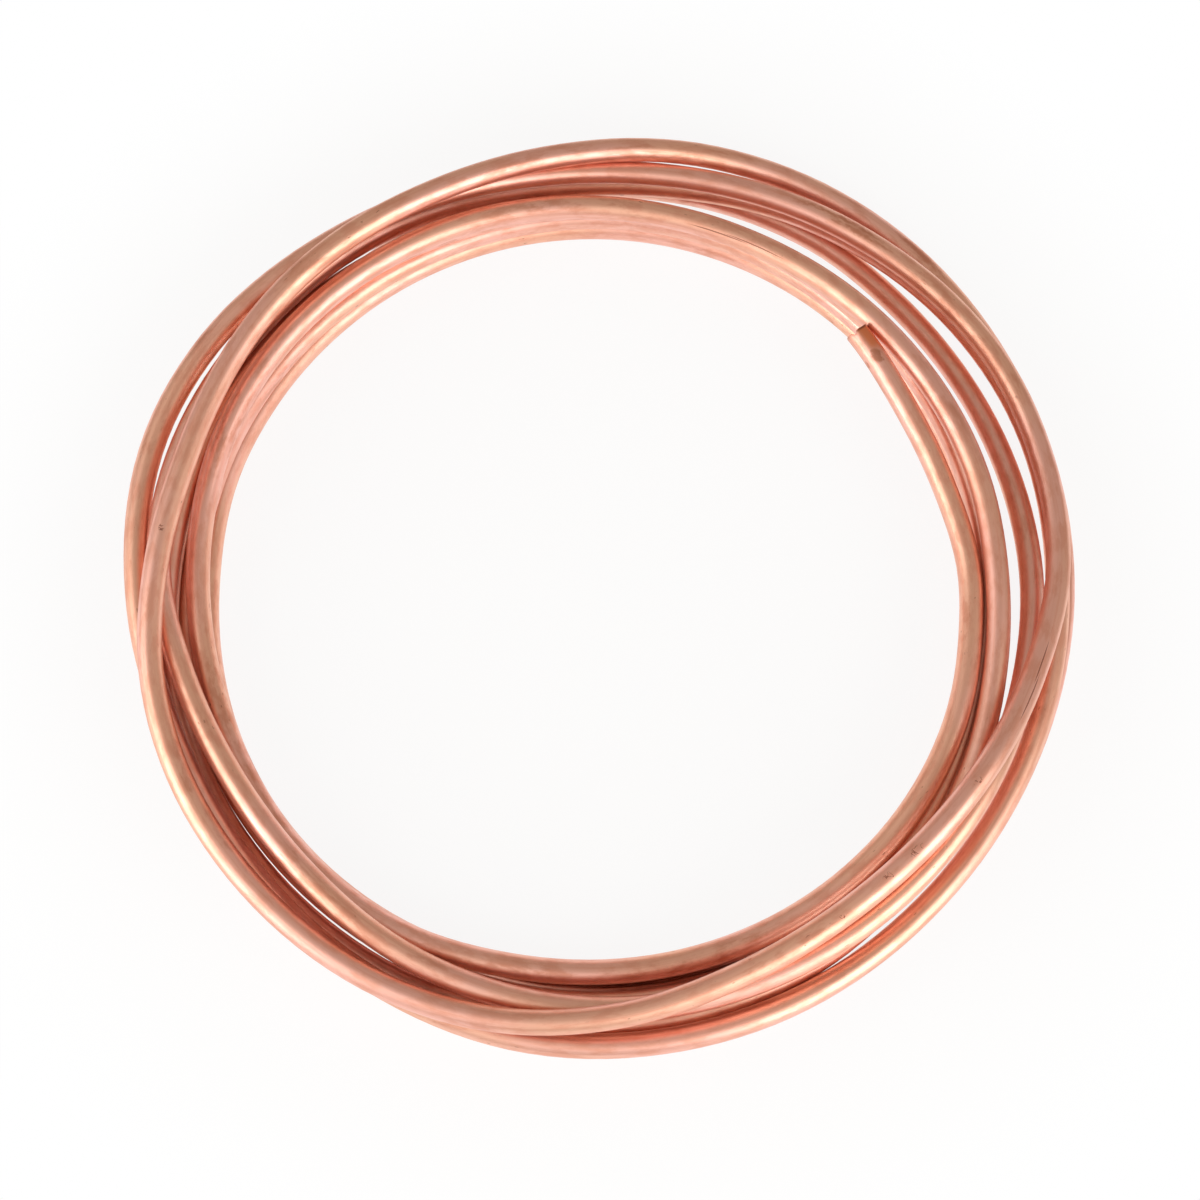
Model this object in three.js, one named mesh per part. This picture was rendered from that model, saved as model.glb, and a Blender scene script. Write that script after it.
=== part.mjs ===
// A loose coil of soft copper tube: one length of round tube, wound into turns that lie on and across
// each other, with both ends cut square and left open.
//
// Millimetres. +Z is the axis of the coil, the coil lies on the plane Z = 0, and the origin is the middle
// of its footprint. Angles are in degrees, counter-clockwise from +X as seen from above.

import * as THREE from "three";

// The tube
const TUBE_OD = 6.35;
const TUBE_WALL = 0.762;

// The coil
const COIL_RADIUS = 112.8; // centre line of the tube on lane 0
const TURN_GAP = 0.35; // clear space left where one turn rests on another
const FREE_SAG = 0.03; // how far one free step bends down under its own weight
const START_ANGLE = 214.5;
const END_ANGLE = 43.5;
const FULL_TURNS = 8;

// Facets
const STEPS_PER_TURN = 40;
const OUTER_SIDES = 10;
const BORE_SIDES = 6;
const SETTLING_ROUNDS = 300;

// The route of the tube, one row for each time it passes angle 0. A waypoint is [angle, lane], and a lane
// is one tube diameter: lane 1 is one diameter outside the coil radius, and lane -1 is one inside it.
const LANES = [
  [[214, 0.9], [240, 1], [265, 1.2], [290, 1.2], [315, 1.1], [335, 1.25]],
  [[0, 1.7], [25, 2.1], [45, 2.35], [60, 2.18], [75, 1.6], [95, 0.52], [115, -0.15], [140, -0.22],
    [165, -0.32], [180, 0.1], [195, 0.72], [212, 1.06], [240, 1.15], [257, 0.9], [272, 0.35],
    [288, -0.35], [306, -0.7], [325, -0.5], [345, 0.2]],
  [[0, 1], [17, 1.4], [32, 1.5], [55, 0.95], [75, 0.45], [92, 0.16], [108, 0.1], [130, 0.38],
    [150, 1.2], [165, 1.47], [185, 1.06], [200, 0.72], [215, 0.73], [240, 1.05], [262, 1.35],
    [290, 1.27], [315, 1.08], [345, 1.2]],
  [[0, 1.3], [22, 1.57], [40, 1.47], [60, 0.95], [78, 0.4], [95, 0.1], [120, 0.1], [140, 0.05],
    [165, 0.3], [180, 0.22], [195, -0.4], [210, -0.75], [225, -0.72], [245, -0.3], [270, 0],
    [300, 0.03], [345, 0.03]],
  [[0, 0.15], [20, 0.24], [45, 0.37], [60, 0.6], [90, 0.55], [120, 0], [150, -0.34], [185, -0.23],
    [200, -0.32], [220, -0.62], [255, -0.65], [285, -0.86], [315, -1.2], [345, -1.52]],
  [[0, -1.6], [25, -1.8], [60, -1.6], [90, -1.4], [120, -1.28], [150, -1.3], [165, -1.25],
    [180, -1.33], [215, -1.1], [240, -1.15], [260, -1.4], [280, -1.6], [315, -1.71]],
  [[0, -1.77], [20, -1.85], [50, -1.7], [80, -1.42], [110, -1.3], [135, -1.16], [165, -0.98],
    [190, -0.58], [220, -0.55], [260, -0.45], [290, -0.59], [320, -1.17], [345, -1.72]],
  [[0, -1.82], [20, -1.88], [50, -1.75], [80, -1.5], [110, -1.2], [122, -1], [137, -0.66], [155, -0.4],
    [175, -0.1], [200, 0.32], [230, 0.53], [262, 0.56], [290, 0.35], [310, -0.1], [330, -0.73],
    [345, -1.26]],
  [[0, -1.6], [15, -1.71], [40, -1.95], [65, -2.03], [90, -1.8], [115, -1.44], [140, -1.19],
    [160, -1.12], [190, -1.29], [205, -1.26], [225, -1.02], [240, -1], [258, -1.38], [275, -1.57],
    [315, -1.8], [335, -2.1], [350, -2.47]],
  [[0, -2.65], [15, -3.14], [30, -3.28], [44, -2.95]],
];

// Which turn lies on which, row for row with the lanes. A waypoint is [angle, order], and where two turns
// cross, the one with the higher order lies on top. The order of two turns changes only where they are
// more than a tube apart.
const ORDERS = [
  [[216, 0]],
  [[0, 0.1], [62, 0.1], [74, 8], [90, 8.5], [120, 9]],
  [[0, 9.5], [65, 9.5], [80, 5], [330, 5]],
  [[0, 3], [112, 3], [122, 4.5], [142, 4.7], [155, 7.5]],
  [[0, 7.5], [45, 1]],
  [[0, 1], [60, 1.5], [330, 1.7]],
  [[0, 2], [60, 2.5], [330, 3]],
  [[0, 3.2], [60, 4], [330, 4]],
  [[0, 6]],
  [[0, 6.2], [46, 6.5]],
];

const copper = new THREE.MeshStandardMaterial({ color: 0xd08a66, roughness: 0.32, metalness: 1 });

/** The rows of a table as one list of [total angle, value], counted from the first row's angle 0. */
function unroll(rows) {
  return rows.flatMap((row, turn) => row.map(([angle, value]) => [360 * turn + angle, value]));
}

/** Index of the last waypoint at or before an angle, with another waypoint after it. */
function spanAt(waypoints, angle) {
  const after = waypoints.findIndex(([at]) => at > angle);
  const last = waypoints.length - 2;
  return after < 0 ? last : Math.max(after - 1, 0);
}

/** Slope of a waypoint list at one of its waypoints. */
function slopeAt(waypoints, index) {
  const before = waypoints[Math.max(index - 1, 0)];
  const after = waypoints[Math.min(index + 1, waypoints.length - 1)];
  return (after[1] - before[1]) / (after[0] - before[0]);
}

/** Lane at an angle, on a smooth curve through the waypoints. */
function laneAt(waypoints, angle) {
  const index = spanAt(waypoints, angle);
  const [start, from] = waypoints[index];
  const [end, to] = waypoints[index + 1];
  const span = end - start;
  const t = (angle - start) / span;
  const rise = slopeAt(waypoints, index) * span;
  const run = slopeAt(waypoints, index + 1) * span;
  const ease = t * t * (3 - 2 * t);
  return from + (to - from) * ease + rise * t * (1 - t) * (1 - t) - run * t * t * (1 - t);
}

/** Order at an angle, on straight lines between the waypoints. */
function orderAt(waypoints, angle) {
  const index = spanAt(waypoints, angle);
  const [start, from] = waypoints[index];
  const [end, to] = waypoints[index + 1];
  const t = Math.min((angle - start) / (end - start), 1);
  return from + (to - from) * t;
}

/** Height of the tube's centre line where a flat of its section lies on the ground. */
function groundHeight() {
  return (TUBE_OD / 2) * Math.cos(Math.PI / OUTER_SIDES);
}

/** The stations of the route, evenly spaced in angle, all on the ground. */
function layOut() {
  const lanes = unroll(LANES);
  const orders = unroll(ORDERS);
  const swept = 360 * FULL_TURNS + 360 + END_ANGLE - START_ANGLE;
  const steps = Math.round((swept * STEPS_PER_TURN) / 360);
  return Array.from({ length: steps + 1 }, (_, index) => {
    const angle = START_ANGLE + (swept * index) / steps;
    const radius = COIL_RADIUS + TUBE_OD * laneAt(lanes, angle);
    return { angle, radius, order: orderAt(orders, angle), height: groundHeight() };
  });
}

/** Stations side by side at one angle, from the lowest turn to the highest. */
function crossSections(stations) {
  const sections = Array.from({ length: STEPS_PER_TURN }, () => []);
  stations.forEach((station, index) => sections[index % STEPS_PER_TURN].push(station));
  sections.forEach((section) => section.sort((a, b) => a.order - b.order));
  return sections;
}

/** Lets each free step bend as a stiff tube does, sagging a little, down to the ground. */
function sag(stations) {
  const last = stations.length - 1;
  const heightAt = (index) => stations[Math.min(Math.max(index, 0), last)].height;
  for (let index = 1; index < last; index += 1) {
    const beside = heightAt(index - 1) + heightAt(index + 1);
    const beyond = heightAt(index - 2) + heightAt(index + 2);
    const unbent = (4 * beside - beyond) / 6;
    stations[index].height = Math.max(unbent - FREE_SAG, groundHeight());
  }
}

/** Lifts each turn of one cross-section clear of the turns under it. */
function stack(section) {
  const pitch = TUBE_OD + TURN_GAP;
  section.forEach((upper, place) => {
    for (const lower of section.slice(0, place)) {
      const apart = Math.abs(upper.radius - lower.radius);
      if (apart >= pitch) continue;
      const rise = Math.sqrt(pitch * pitch - apart * apart);
      upper.height = Math.max(upper.height, lower.height + rise);
    }
  });
}

/** Settles the coil under its own weight: turns sag where they are free and rest where they cross. */
function settle(stations) {
  const sections = crossSections(stations);
  for (let round = 0; round < SETTLING_ROUNDS; round += 1) {
    sag(stations);
    sections.forEach(stack);
  }
}

/** The stations as points. */
function toPoints(stations) {
  return stations.map(({ angle, radius, height }) => {
    const turned = THREE.MathUtils.degToRad(angle);
    return new THREE.Vector3(radius * Math.cos(turned), radius * Math.sin(turned), height);
  });
}

/** A smooth curve whose even steps are the stations, and whose section never rolls: its +X stays down. */
class CoilRoute extends THREE.CatmullRomCurve3 {
  getUtoTmapping(u) {
    return u;
  }

  computeFrenetFrames(segments) {
    const down = new THREE.Vector3(0, 0, -1);
    const shares = Array.from({ length: segments + 1 }, (_, index) => index / segments);
    const tangents = shares.map((share) => this.getTangentAt(share));
    const binormals = tangents.map((along) => along.clone().cross(down).normalize());
    const normals = tangents.map((along, index) => binormals[index].clone().cross(along));
    return { tangents, normals, binormals };
  }
}

/** Corners of a regular polygon with a flat on its +X side. */
function polygon(radius, sides) {
  return Array.from({ length: sides }, (_, index) => {
    const turned = ((index + 0.5) * 2 * Math.PI) / sides;
    return new THREE.Vector2(radius * Math.cos(turned), radius * Math.sin(turned));
  });
}

/** The section of the tube: a round wall with its bore. */
function tubeSection() {
  const section = new THREE.Shape(polygon(TUBE_OD / 2, OUTER_SIDES));
  section.holes.push(new THREE.Path(polygon(TUBE_OD / 2 - TUBE_WALL, BORE_SIDES)));
  return section;
}

/** Moves a geometry so that it stands on the ground with its footprint centred on the origin. */
function centre(geometry) {
  geometry.computeBoundingBox();
  const middle = geometry.boundingBox.getCenter(new THREE.Vector3());
  geometry.translate(-middle.x, -middle.y, -geometry.boundingBox.min.z);
}

/** The whole tube, drawn along its route from one open end to the other. */
function copperTube() {
  const stations = layOut();
  settle(stations);
  const geometry = new THREE.ExtrudeGeometry(tubeSection(), {
    steps: stations.length - 1,
    extrudePath: new CoilRoute(toPoints(stations)),
    bevelEnabled: false,
  });
  centre(geometry);
  const tube = new THREE.Mesh(geometry, copper);
  tube.name = "copper_tube";
  return tube;
}

const coil = new THREE.Group();
coil.add(copperTube());

export default coil;
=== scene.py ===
"""A loose coil of soft copper tube on a pale floor.

Metres. +Z is the axis of the coil, the coil lies on the plane Z = 0, and the origin is the middle of its
footprint. Angles are in degrees, counter-clockwise from +X as seen from above.
"""
import math
from bisect import bisect_right

import bmesh
import bpy
from mathutils import Euler, Matrix, Vector


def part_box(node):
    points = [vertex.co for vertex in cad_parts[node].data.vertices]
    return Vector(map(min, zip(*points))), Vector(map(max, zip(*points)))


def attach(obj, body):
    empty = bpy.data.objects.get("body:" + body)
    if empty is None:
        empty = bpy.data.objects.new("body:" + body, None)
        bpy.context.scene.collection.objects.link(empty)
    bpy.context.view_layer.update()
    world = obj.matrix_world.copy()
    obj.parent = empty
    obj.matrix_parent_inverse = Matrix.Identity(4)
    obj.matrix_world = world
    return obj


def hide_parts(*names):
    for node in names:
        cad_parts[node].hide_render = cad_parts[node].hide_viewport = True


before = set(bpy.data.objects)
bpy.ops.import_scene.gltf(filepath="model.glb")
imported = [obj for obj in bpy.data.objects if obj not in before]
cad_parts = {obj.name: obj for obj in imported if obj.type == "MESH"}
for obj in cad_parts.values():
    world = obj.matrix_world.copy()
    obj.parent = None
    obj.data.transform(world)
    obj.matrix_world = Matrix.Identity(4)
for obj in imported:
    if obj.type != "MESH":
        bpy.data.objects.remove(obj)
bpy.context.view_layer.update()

# The tube
TUBE_OD = 0.00635
TUBE_WALL = 0.000762
TUBE_RADIUS = TUBE_OD / 2
BORE_RADIUS = TUBE_RADIUS - TUBE_WALL

# The coil
COIL_RADIUS = 0.1128  # centre line of the tube on lane 0
TURN_GAP = 0.00008  # left between turns at each station; a steep crossing can come closer in between
FREE_SAG = 0.00003  # how far one free step bends down under its own weight
START_ANGLE = 214.5
END_ANGLE = 43.5
FULL_TURNS = 8  # between the first and the last time that the tube passes angle 0
SWEPT_ANGLE = 360 * FULL_TURNS + 360 + END_ANGLE - START_ANGLE

# Steps
STEPS_PER_TURN = 40
SETTLING_ROUNDS = 300
RINGS_PER_STEP = 4
TUBE_SIDES = 28

# The cut ends
RIM_ROUND = 0.00009  # round of the edges that the cutter left
RIM_WAVE = 0.00008  # how far the cut wanders along the tube
NICK_DEPTH = 0.0009  # one bite out of the rim at the inner end
NICK_ANGLE = 60  # from the side that faces the coil's axis, over the top
NICK_SPREAD = 13

# The route of the tube, one row for each time it passes angle 0. A waypoint is [angle, lane], and a lane
# is one tube diameter: lane 1 is one diameter outside the coil radius, and lane -1 is one inside it.
LANES = [
    [[214, 0.9], [240, 1.0], [265, 1.2], [290, 1.2], [315, 1.1], [335, 1.25]],
    [[0, 1.7], [25, 2.1], [45, 2.35], [60, 2.18], [75, 1.6], [95, 0.52], [115, -0.15], [140, -0.22],
     [165, -0.32], [180, 0.1], [195, 0.72], [212, 1.06], [240, 1.15], [257, 0.9], [272, 0.35], [288, -0.35],
     [306, -0.7], [325, -0.5], [345, 0.2]],
    [[0, 1.0], [17, 1.4], [32, 1.5], [55, 0.95], [75, 0.45], [92, 0.16], [108, 0.1], [130, 0.38],
     [150, 1.2], [165, 1.47], [185, 1.06], [200, 0.72], [215, 0.73], [240, 1.05], [262, 1.35], [290, 1.27],
     [315, 1.08], [345, 1.2]],
    [[0, 1.3], [22, 1.57], [40, 1.47], [60, 0.95], [78, 0.4], [95, 0.1], [120, 0.1], [140, 0.05],
     [165, 0.3], [180, 0.22], [195, -0.4], [210, -0.75], [225, -0.72], [245, -0.3], [270, 0], [300, 0.03],
     [345, 0.03]],
    [[0, 0.15], [20, 0.24], [45, 0.37], [60, 0.6], [90, 0.55], [120, 0], [150, -0.34], [185, -0.23],
     [200, -0.32], [220, -0.62], [255, -0.65], [285, -0.86], [315, -1.2], [345, -1.52]],
    [[0, -1.6], [25, -1.8], [60, -1.6], [90, -1.4], [120, -1.28], [150, -1.3], [165, -1.25], [180, -1.33],
     [215, -1.1], [240, -1.15], [260, -1.4], [280, -1.6], [315, -1.71]],
    [[0, -1.77], [20, -1.85], [50, -1.7], [80, -1.42], [110, -1.3], [135, -1.16], [165, -0.98],
     [190, -0.58], [220, -0.55], [260, -0.45], [290, -0.59], [320, -1.17], [345, -1.72]],
    [[0, -1.82], [20, -1.88], [50, -1.75], [80, -1.5], [110, -1.2], [122, -1.0], [137, -0.66],
     [155, -0.4], [175, -0.1], [200, 0.32], [230, 0.53], [262, 0.56], [290, 0.35], [310, -0.1],
     [330, -0.73], [345, -1.26]],
    [[0, -1.6], [15, -1.71], [40, -1.95], [65, -2.03], [90, -1.8], [115, -1.44], [140, -1.19],
     [160, -1.12], [190, -1.29], [205, -1.26], [225, -1.02], [240, -1.0], [258, -1.38], [275, -1.57],
     [315, -1.8], [335, -2.1], [350, -2.47]],
    [[0, -2.65], [15, -3.14], [30, -3.28], [44, -2.95]],
]

# Which turn lies on which, row for row with the lanes. A waypoint is [angle, order], and where two turns
# cross, the one with the higher order lies on top.
ORDERS = [
    [[216, 0]],
    [[0, 0.1], [62, 0.1], [74, 8], [90, 8.5], [120, 9]],
    [[0, 9.5], [65, 9.5], [80, 5], [330, 5]],
    [[0, 3], [112, 3], [122, 4.5], [142, 4.7], [155, 7.5]],
    [[0, 7.5], [45, 1]],
    [[0, 1], [60, 1.5], [330, 1.7]],
    [[0, 2], [60, 2.5], [330, 3]],
    [[0, 3.2], [60, 4], [330, 4]],
    [[0, 6]],
    [[0, 6.2], [46, 6.5]],
]

# Bruises, scratches and tarnish in known places: turn, angle, angle around the section, half length and
# half width
HANDLING_MARKS = [
    (1, 176, 86, 0.0014, 0.0009),
    (1, 303, 102, 0.0011, 0.0008),
    (1, 311, 88, 0.0022, 0.0014),
    (1, 316, 86, 0.0026, 0.0013),
    (1, 328, 93, 0.0016, 0.0011),
]
SCRATCHES = [
    (8, 65, 60, 0.012, 0.00018),
    (8, 71, 53, 0.011, 0.00022),
    (1, 341.5, 111, 0.008, 0.00022),
    (1, 346.5, 102, 0.007, 0.0002),
]
TARNISHED_PLACES = [
    (1, 46.5, 90, 0.011, 0.003),
    (2, 55, 98, 0.02, 0.0016),
    (9, 37.9, 14, 0.002, 0.0012),
]
STAIN_SETBACK = 0.0104  # from the inner end to the middle of its brown stain
STAIN_ANGLE = 85  # around the section
STAIN_HALF_LENGTH = 0.003
STAIN_HALF_WIDTH = 0.0018

# The light
WHITE = (1, 1, 1, 1)  # what the camera sees behind everything
ROOM_LIGHT = (0.43, 0.37, 0.317, 1)
LAMP_DISTANCE = 1.0
SOFT_BOXES = {  # azimuth, elevation, width, height and radiance
    "left_soft_box": (193, 34, 0.7, 1.0, 1.7),
    "front_left_soft_box": (212, 17, 0.55, 0.5, 2.4),
    "right_soft_box": (316, 27, 0.8, 0.9, 2.8),
    "front_soft_box": (248, 44, 0.7, 1.1, 0.45),
}

# The floor: a square sheet with its middle to the front left, because the copper mirrors it
FLOOR_GRAY = (0.92, 0.92, 0.92, 1)
FLOOR_HALF_SIDE = 0.7
FLOOR_MIDDLE = (-0.5, -0.5, 0)
WHITE_BY_THE_COIL = 0.88  # share of plain white that the camera sees there; the rest is lit and shaded
WHITE_IN_COPPER = 0.95  # the same share in reflections
FADE_START = 0.13  # from the coil's axis
FADE_END = 0.2

# The view
VIEW_ELEVATION = 75
VIEW_DISTANCE = 0.6035
VIEW_TARGET = Vector((0, -0.00607, 0.0127))  # from the foot of the coil's axis
VIEW_FOCAL_SHARE = 2300 / 1200  # focal length as a share of the frame's width
SENSOR_WIDTH = 36


def unroll(rows):
    """The rows of a table as one list of (total angle, value), counted from the first row's angle 0."""
    return [(360 * turn + angle, value) for turn, row in enumerate(rows) for angle, value in row]


def span_at(waypoints, angle):
    """Index of the last waypoint at or before an angle, with another waypoint after it."""
    after = bisect_right([at for at, _ in waypoints], angle)
    return min(max(after - 1, 0), len(waypoints) - 2)


def slope_at(waypoints, index):
    """Slope of a waypoint list at one of its waypoints."""
    before = waypoints[max(index - 1, 0)]
    after = waypoints[min(index + 1, len(waypoints) - 1)]
    return (after[1] - before[1]) / (after[0] - before[0])


def lane_at(waypoints, angle):
    """Lane at an angle, on a smooth curve through the waypoints."""
    index = span_at(waypoints, angle)
    start, low = waypoints[index]
    end, high = waypoints[index + 1]
    span = end - start
    t = (angle - start) / span
    rise = slope_at(waypoints, index) * span
    run = slope_at(waypoints, index + 1) * span
    ease = t * t * (3 - 2 * t)
    return low + (high - low) * ease + rise * t * (1 - t) * (1 - t) - run * t * t * (1 - t)


def order_at(waypoints, angle):
    """Order at an angle, on straight lines between the waypoints."""
    index = span_at(waypoints, angle)
    start, low = waypoints[index]
    end, high = waypoints[index + 1]
    t = min((angle - start) / (end - start), 1)
    return low + (high - low) * t


class Station:
    """One place along the route: its angle, its distance from the axis, its order and its height."""

    def __init__(self, angle, radius, order):
        self.angle = angle
        self.radius = radius
        self.order = order
        self.height = TUBE_RADIUS


def lay_out():
    """The stations of the route, evenly spaced in angle, all on the ground."""
    lanes = unroll(LANES)
    orders = unroll(ORDERS)
    steps = round(SWEPT_ANGLE * STEPS_PER_TURN / 360)
    angles = [START_ANGLE + SWEPT_ANGLE * index / steps for index in range(steps + 1)]
    return [
        Station(angle, COIL_RADIUS + TUBE_OD * lane_at(lanes, angle), order_at(orders, angle))
        for angle in angles
    ]


def sag(stations):
    """Lets each free step bend as a stiff tube does, sagging a little, down to the ground."""
    last = len(stations) - 1
    for index in range(1, last):
        beside = stations[index - 1].height + stations[index + 1].height
        beyond = stations[max(index - 2, 0)].height + stations[min(index + 2, last)].height
        unbent = (4 * beside - beyond) / 6
        stations[index].height = max(unbent - FREE_SAG, TUBE_RADIUS)


def stack(section):
    """Lifts each turn of one cross-section clear of the turns under it."""
    pitch = TUBE_OD + TURN_GAP
    for place, upper in enumerate(section):
        for lower in section[:place]:
            apart = abs(upper.radius - lower.radius)
            if apart < pitch:
                rise = math.sqrt(pitch * pitch - apart * apart)
                upper.height = max(upper.height, lower.height + rise)


def settle(stations):
    """Settles the coil under its own weight: turns sag where they are free and rest where they cross."""
    sections = [
        sorted(stations[first::STEPS_PER_TURN], key=lambda station: station.order)
        for first in range(STEPS_PER_TURN)
    ]
    for _ in range(SETTLING_ROUNDS):
        sag(stations)
        for section in sections:
            stack(section)


def ring_points(stations):
    """Closely spaced points of the route, with the heights on a smooth curve through the stations."""
    lanes = unroll(LANES)
    heights = [(station.angle, station.height) for station in stations]
    rings = (len(stations) - 1) * RINGS_PER_STEP
    swept = stations[-1].angle - stations[0].angle
    points = []
    for ring in range(rings + 1):
        angle = stations[0].angle + swept * ring / rings
        radius = COIL_RADIUS + TUBE_OD * lane_at(lanes, angle)
        turned = math.radians(angle)
        height = max(lane_at(heights, angle), TUBE_RADIUS)
        points.append(Vector((radius * math.cos(turned), radius * math.sin(turned), height)))
    return points


def ring_frames(points):
    """A matrix for each point: Z along the tube, X level towards the coil's axis, and Y up."""
    frames = []
    last = len(points) - 1
    for index, point in enumerate(points):
        along = (points[min(index + 1, last)] - points[max(index - 1, 0)]).normalized()
        across = Vector((0, 0, 1)).cross(along).normalized()
        up = along.cross(across)
        turn = Matrix((across, up, along)).transposed().to_4x4()
        frames.append(Matrix.Translation(point) @ turn)
    return frames


def route_length(points):
    return sum((after - before).length for before, after in zip(points, points[1:]))


def circle(form, radius):
    """The vertices of a circle of the tube's sides around the origin, in order."""
    turns = [math.tau * side / TUBE_SIDES for side in range(TUBE_SIDES)]
    return [form.verts.new((radius * math.cos(turn), radius * math.sin(turn), 0)) for turn in turns]


def straight_tube(form, length, rings):
    """A straight tube along +Z with its open bore, cut into rings, its rims rounded at both ends."""
    outer = circle(form, TUBE_RADIUS)
    bore = circle(form, BORE_RADIUS)
    cut = [
        form.faces.new((outer[side - 1], outer[side], bore[side], bore[side - 1]))
        for side in range(TUBE_SIDES)
    ]
    made = bmesh.ops.extrude_face_region(form, geom=cut)["geom"]
    verts = [part for part in made if isinstance(part, bmesh.types.BMVert)]
    bmesh.ops.translate(form, vec=(0, 0, length), verts=verts)
    lengthwise = [edge for edge in form.edges if edge.calc_length() > length / 2]
    bmesh.ops.subdivide_edges(form, edges=lengthwise, cuts=rings - 1, use_grid_fill=True)
    form.normal_update()
    for face in form.faces:
        face.smooth = abs(face.normal.z) < 0.5  # the walls, and not the two cuts
    rims = [edge for edge in form.edges if len({face.smooth for face in edge.link_faces}) == 2]
    bmesh.ops.bevel(
        form, geom=rims, offset=RIM_ROUND, affect="EDGES", segments=2, profile=0.5, material=-1
    )
    bmesh.ops.recalc_face_normals(form, faces=form.faces)


def wear_rim(vert, length):
    """How far the cut at the inner end wanders from square at a vertex: a slow wave and one deep nick."""
    around = math.degrees(math.atan2(vert.co.y, vert.co.x))
    wave = RIM_WAVE * (math.sin(math.radians(3 * around)) + math.sin(math.radians(5 * around + 40)))
    nick = NICK_DEPTH * math.exp(-((around - NICK_ANGLE) / NICK_SPREAD) ** 2)
    return (wave - nick) if vert.co.z > length - 3 * RIM_ROUND else 0


def bend(form, frames, length):
    """Bends the straight tube along the route, and keeps each vertex's straight place as an attribute."""
    straight = form.verts.layers.float_vector.new("straight")
    spacing = length / (len(frames) - 1)
    for vert in form.verts:
        vert[straight] = vert.co
        ring = round(vert.co.z / spacing)
        beyond = vert.co.z - ring * spacing + wear_rim(vert, length)
        vert.co = frames[ring] @ Vector((vert.co.x, vert.co.y, beyond))


def seat(form):
    """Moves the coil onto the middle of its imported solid. Returns the foot of its axis there."""
    low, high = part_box("copper_tube")
    foot = Vector((0, 0, 0))
    for axis in (0, 1):
        own = [vert.co[axis] for vert in form.verts]
        foot[axis] = (low[axis] + high[axis] - min(own) - max(own)) / 2
    bmesh.ops.translate(form, vec=foot, verts=form.verts)
    return foot


def copper_tube():
    """The whole tube along its settled route. Returns its mesh, its length and the foot of its axis."""
    stations = lay_out()
    settle(stations)
    points = ring_points(stations)
    length = route_length(points)
    form = bmesh.new()
    straight_tube(form, length, len(points) - 1)
    bend(form, ring_frames(points), length)
    foot = seat(form)
    mesh = bpy.data.meshes.new("soft_copper_tube")
    form.to_mesh(mesh)
    form.free()
    return mesh, length, foot


class Wire:
    """One output of a node. Arithmetic on it adds Math nodes."""

    def __init__(self, graph, socket):
        self.graph = graph
        self.socket = socket

    def math(self, operation, *values):
        sockets = dict(enumerate(values))
        return self.graph.node("ShaderNodeMath", {"operation": operation}, sockets)["Value"]

    def __add__(self, other):
        return self.math("ADD", self, other)

    def __sub__(self, other):
        return self.math("SUBTRACT", self, other)

    def __rsub__(self, other):
        return self.math("SUBTRACT", other, self)

    def __mul__(self, other):
        return self.math("MULTIPLY", self, other)

    __radd__ = __add__
    __rmul__ = __mul__

    def __abs__(self):
        return self.math("ABSOLUTE", self)

    def over(self, low, high):
        """0 where this is at or below low, 1 at or above high, and smooth between them."""
        return self.graph.node(
            "ShaderNodeMapRange",
            {"interpolation_type": "SMOOTHSTEP"},
            {"Value": self, "From Min": low, "From Max": high},
        )["Result"]


class Graph:
    """The shader nodes of a material or of the world."""

    def __init__(self, owner):
        owner.use_nodes = True
        self.tree = owner.node_tree
        self.tree.nodes.clear()

    def node(self, kind, settings, sockets):
        """Adds a node, sets its settings and then its sockets. Returns its outputs by name."""
        made = self.tree.nodes.new(kind)
        for name, value in settings.items():
            setattr(made, name, value)
        for name, value in sockets.items():
            if isinstance(value, Wire):
                self.tree.links.new(value.socket, made.inputs[name])
            else:
                made.inputs[name].default_value = value
        return {socket.name: Wire(self, socket) for socket in made.outputs if socket.enabled}

    def vector(self, operation, *values):
        sockets = dict(enumerate(values))
        outputs = self.node("ShaderNodeVectorMath", {"operation": operation}, sockets)
        return outputs["Value" if operation == "LENGTH" else "Vector"]

    def noise(self, vector, scales, detail=2, roughness=0.5):
        """Noise on a vector stretched by three scales, in cells per metre."""
        sockets = {"Vector": self.vector("MULTIPLY", vector, scales), "Scale": 1}
        sockets.update({"Detail": detail, "Roughness": roughness})
        return self.node("ShaderNodeTexNoise", {}, sockets)["Fac"]

    def mix(self, share, first, second):
        sockets = {"Factor": share, 6: first, 7: second}
        return self.node("ShaderNodeMix", {"data_type": "RGBA"}, sockets)["Result"]


def rgb(red, green, blue):
    """A colour given in screen values from 0 to 255, as the shader's linear values."""
    def linear(value):
        share = value / 255
        return share / 12.92 if share <= 0.04045 else ((share + 0.055) / 1.055) ** 2.4

    return (linear(red), linear(green), linear(blue), 1)


PINK_COPPER = rgb(254, 198, 182)
TAN_COPPER = rgb(252, 198, 171)
DULL_COPPER = rgb(234, 166, 140)
TARNISHED_COPPER = rgb(206, 134, 106)
ORANGE_END_COPPER = rgb(242, 142, 92)
STAINED_COPPER = rgb(178, 112, 80)
# the colour of bruises and scratches, and also of the painted shade along the rim of the inner cut
BRUISE_AND_RIM_SHADE_COPPER = rgb(140, 84, 66)


def spot(graph, straight, place, half_length, half_width):
    """1 in the middle of one roughly oval spot on the tube's outside, fading to 0 at its edge.

    The place is (angle around the section from the side that faces the coil's axis, distance along).
    """
    around, distance = place
    turned = math.radians(around)
    centre = (TUBE_RADIUS * math.cos(turned), TUBE_RADIUS * math.sin(turned), distance)
    offset = graph.vector("SUBTRACT", straight, centre)
    scaled = graph.vector("MULTIPLY", offset, (1 / half_width, 1 / half_width, 1 / half_length))
    return 1 - graph.vector("LENGTH", scaled).over(0.55, 1)


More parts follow.
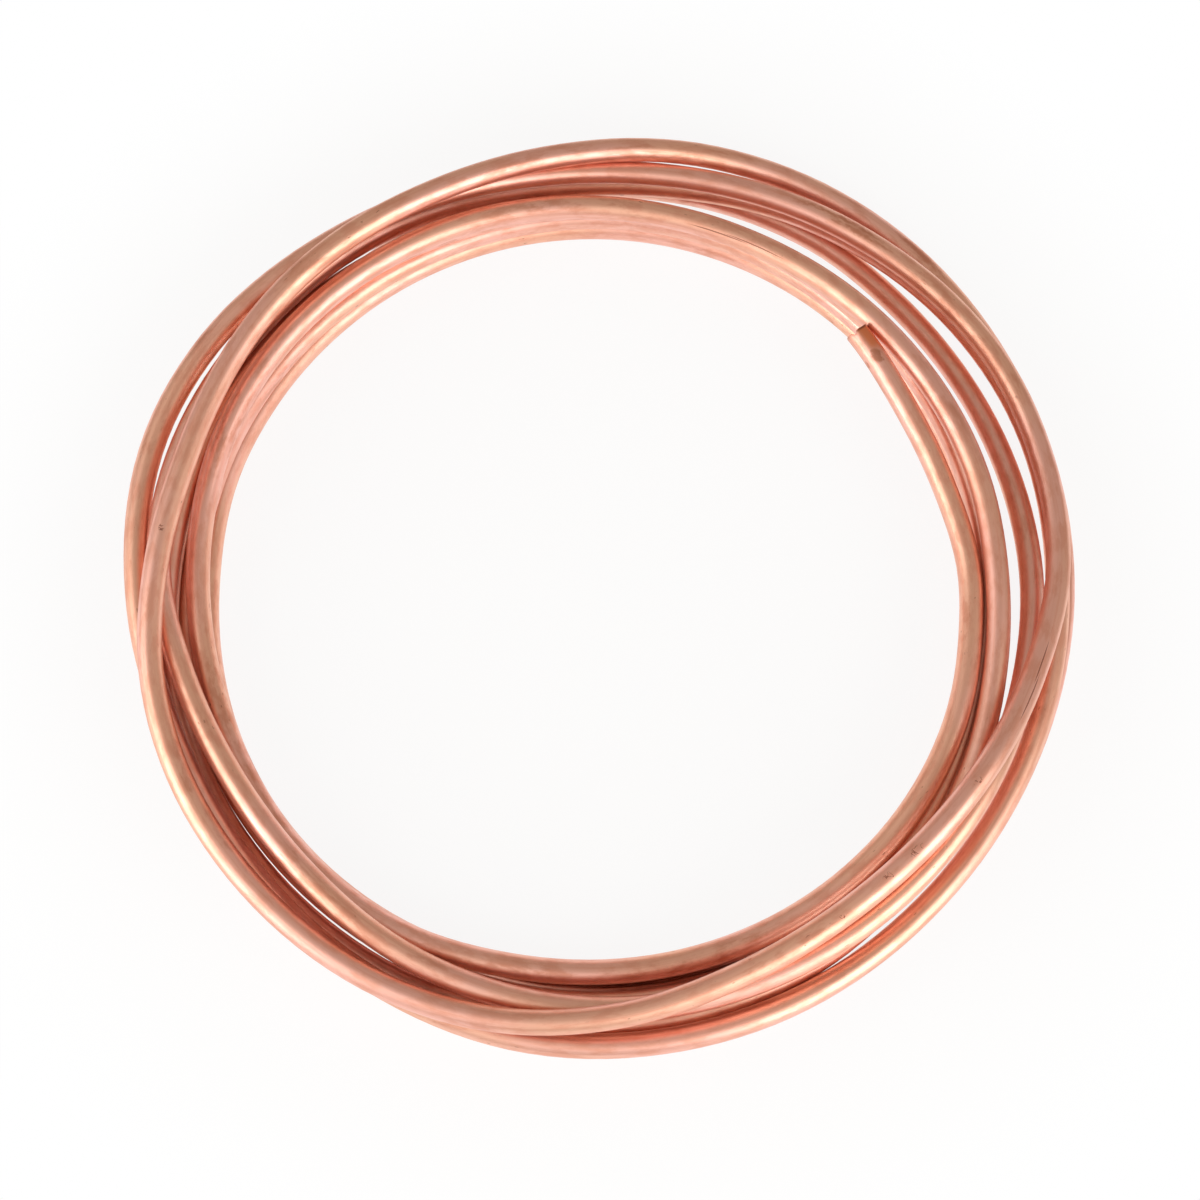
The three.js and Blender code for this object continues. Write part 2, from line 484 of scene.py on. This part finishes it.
def spots(graph, straight, length, places):
    """The oval spots of a list of known places, together."""
    total = 0
    for turn, angle, around, half_length, half_width in places:
        distance = length * route_share(turn, angle)
        total = total + spot(graph, straight, (around, distance), half_length, half_width)
    return total


def handling_marks(graph, straight, length):
    """Where the tube is bruised and scratched: a few known places, and specks here and there."""
    strokes = 1 - abs(graph.noise(straight, (520, 520, 700), detail=1) - 0.5).over(0.01, 0.04)
    bruises = spots(graph, straight, length, HANDLING_MARKS) * strokes
    scratches = spots(graph, straight, length, SCRATCHES)
    specks = graph.noise(straight, (1100, 1100, 420), detail=1).over(0.72, 0.78)
    patches = graph.noise(straight, (50, 50, 16), detail=1).over(0.5, 0.62)
    return bruises + scratches + specks * patches * 0.6


def route_share(turn, angle):
    """How far along the tube a place lies, from 0 at its outer end to 1 at its inner end."""
    return (360 * turn + angle - START_ANGLE) / SWEPT_ANGLE


def drawn_copper(length):
    """Soft bare copper as drawn: satin, with faint lengthwise lines, mottling, handling marks, an orange tint
    and a stain by the inner end, and painted shade along the rim of its cut.
    """
    material = bpy.data.materials.new("drawn_copper")
    graph = Graph(material)
    straight = graph.node("ShaderNodeAttribute", {"attribute_name": "straight"}, {})["Vector"]
    fine_lines = graph.noise(straight, (1800, 1800, 45), detail=3)
    wide_lines = graph.noise(straight, (800, 800, 8), detail=2)
    mottle = graph.noise(straight, (420, 420, 150), detail=4, roughness=0.62)
    drift = graph.noise(straight, (90, 90, 16), detail=2)
    swell = graph.noise(straight, (110, 110, 26), detail=1)
    ragged = graph.vector("ADD", straight, graph.noise(straight, (550, 550, 550)) * 0.003 - 0.0015)
    marks = handling_marks(graph, straight, length)
    tarnish = graph.noise(straight, (150, 150, 20), detail=3, roughness=0.6).over(0.54, 0.66)
    tarnish = tarnish * 0.6 + spots(graph, ragged, length, TARNISHED_PLACES)
    tarnish = tarnish * mottle.over(0.36, 0.6)
    stain_place = (STAIN_ANGLE, length - STAIN_SETBACK)
    stain = spot(graph, ragged, stain_place, STAIN_HALF_LENGTH, STAIN_HALF_WIDTH) * mottle.over(0.2, 0.42)
    from_end = straight_distance(graph, straight, length)
    # more orange towards the inner end, mostly on its outer side
    orange_end = 1 - from_end.over(0.006, STAIN_SETBACK)
    # painted shade: a dark line along the rim of the inner cut, stronger on its outer side, where the cut end
    # lies in shadow
    rim = 1 - from_end.over(0.0003, 0.0011)
    outer_side = graph.node("ShaderNodeSeparateXYZ", {}, {"Vector": straight})["X"].over(0.0015, -0.0005)
    rim = rim * (outer_side * 0.7 + 0.3)
    color = graph.mix(drift.over(0.38, 0.62), PINK_COPPER, TAN_COPPER)
    color = graph.mix(mottle.over(0.42, 0.66) * 0.6, color, DULL_COPPER)
    color = graph.mix(wide_lines.over(0.5, 0.72) * 0.3 + fine_lines.over(0.5, 0.7) * 0.35, color, DULL_COPPER)
    color = graph.mix(tarnish * 0.7, color, TARNISHED_COPPER)
    color = graph.mix(orange_end * (outer_side * 0.8 + 0.1), color, ORANGE_END_COPPER)
    color = graph.mix(stain * 0.75, color, STAINED_COPPER)
    # handling marks, and the painted shade along the rim of the cut
    color = graph.mix(marks * 0.8 + rim * 0.8, color, BRUISE_AND_RIM_SHADE_COPPER)
    roughness = 0.34 + mottle * 0.12 + fine_lines * 0.06 + stain * 0.15 + marks * 0.1
    height = fine_lines * 0.35 + wide_lines * 0.8 + mottle * 0.12 + swell * 1.5 - marks * 1.2
    bump = graph.node("ShaderNodeBump", {}, {"Strength": 0.4, "Distance": 0.00006, "Height": height})
    shader = graph.node(
        "ShaderNodeBsdfPrincipled",
        {},
        {"Base Color": color, "Metallic": 1.0, "Roughness": roughness, "Normal": bump["Normal"]},
    )
    graph.node("ShaderNodeOutputMaterial", {}, {"Surface": shader["BSDF"]})
    return material


def straight_distance(graph, straight, distance):
    """How far a point is along the tube from a given distance, on either side of it."""
    offset = graph.vector("SUBTRACT", straight, (0, 0, distance))
    return graph.vector("LENGTH", graph.vector("MULTIPLY", offset, (0, 0, 1)))


def pale_floor():
    """A pale sheet of floor, wide to the left and the front, almost white and with the coil's shadow.

    Away from the coil it fades to the white of the background.
    """
    material = bpy.data.materials.new("pale_floor")
    graph = Graph(material)
    satin = {"Base Color": FLOOR_GRAY, "Roughness": 0.25}
    lit = graph.node("ShaderNodeBsdfPrincipled", {}, satin)["BSDF"]
    white = graph.node("ShaderNodeEmission", {}, {"Color": WHITE, "Strength": 1})["Emission"]
    path = graph.node("ShaderNodeLightPath", {}, {})
    place = graph.node("ShaderNodeTexCoord", {}, {})["Object"]
    away = graph.vector("LENGTH", place).over(FADE_START, FADE_END)
    seen_white = away * (1 - WHITE_BY_THE_COIL) + WHITE_BY_THE_COIL
    share = path["Is Camera Ray"] * seen_white + path["Is Glossy Ray"] * WHITE_IN_COPPER
    shader = graph.node("ShaderNodeMixShader", {}, {0: share, 1: lit, 2: white})["Shader"]
    graph.node("ShaderNodeOutputMaterial", {}, {"Surface": shader})
    form = bmesh.new()
    bmesh.ops.create_grid(form, x_segments=1, y_segments=1, size=FLOOR_HALF_SIDE)
    bmesh.ops.translate(form, vec=FLOOR_MIDDLE, verts=form.verts)
    mesh = bpy.data.meshes.new("floor")
    form.to_mesh(mesh)
    form.free()
    mesh.materials.append(material)
    floor = bpy.data.objects.new("floor", mesh)
    bpy.context.collection.objects.link(floor)


def soft_box(name, azimuth, elevation, width, height, radiance):
    """An area lamp that faces the middle of the coil from an azimuth and elevation in degrees."""
    lamp = bpy.data.lights.new(name, "AREA")
    lamp.shape = "RECTANGLE"
    lamp.size = width
    lamp.size_y = height
    lamp.energy = radiance * math.pi * width * height
    box = bpy.data.objects.new(name, lamp)
    turned, raised = math.radians(azimuth), math.radians(elevation)
    level = math.cos(raised)
    place = LAMP_DISTANCE * Vector((level * math.cos(turned), level * math.sin(turned), math.sin(raised)))
    box.location = place
    box.rotation_euler = (-place).to_track_quat("-Z", "Y").to_euler()
    bpy.context.collection.objects.link(box)


def studio_light():
    """Two soft boxes to the left and one to the front right, a weaker one in front, in a dim warm room."""
    for name, values in SOFT_BOXES.items():
        soft_box(name, *values)
    world = bpy.data.worlds.new("dim_room")
    bpy.context.scene.world = world
    graph = Graph(world)
    seen = graph.node("ShaderNodeLightPath", {}, {})["Is Camera Ray"]
    tone = graph.mix(seen, ROOM_LIGHT, WHITE)
    room = graph.node("ShaderNodeBackground", {}, {"Color": tone})["Background"]
    graph.node("ShaderNodeOutputWorld", {}, {"Surface": room})


def camera(foot):
    """The camera, looking down on the coil from the front."""
    lens = bpy.data.cameras.new("camera")
    lens.sensor_width = SENSOR_WIDTH
    lens.lens = SENSOR_WIDTH * VIEW_FOCAL_SHARE
    eye = bpy.data.objects.new("camera", lens)
    rise = math.radians(VIEW_ELEVATION)
    away = VIEW_DISTANCE * Vector((0, -math.cos(rise), math.sin(rise)))
    eye.location = foot + VIEW_TARGET + away
    eye.rotation_euler = Euler((math.pi / 2 - rise, 0, 0))
    bpy.context.collection.objects.link(eye)
    bpy.context.scene.camera = eye


def dress_tube():
    """Puts the smooth tube in the place of the faceted one. Returns the foot of the coil's axis."""
    mesh, length, foot = copper_tube()
    mesh.materials.append(drawn_copper(length))
    tube = bpy.data.objects.new("soft_copper_tube", mesh)
    bpy.context.collection.objects.link(tube)
    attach(tube, "root")
    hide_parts("copper_tube")
    return foot


bpy.context.scene.view_settings.view_transform = "Standard"
foot = dress_tube()
camera(foot)
pale_floor()
studio_light()
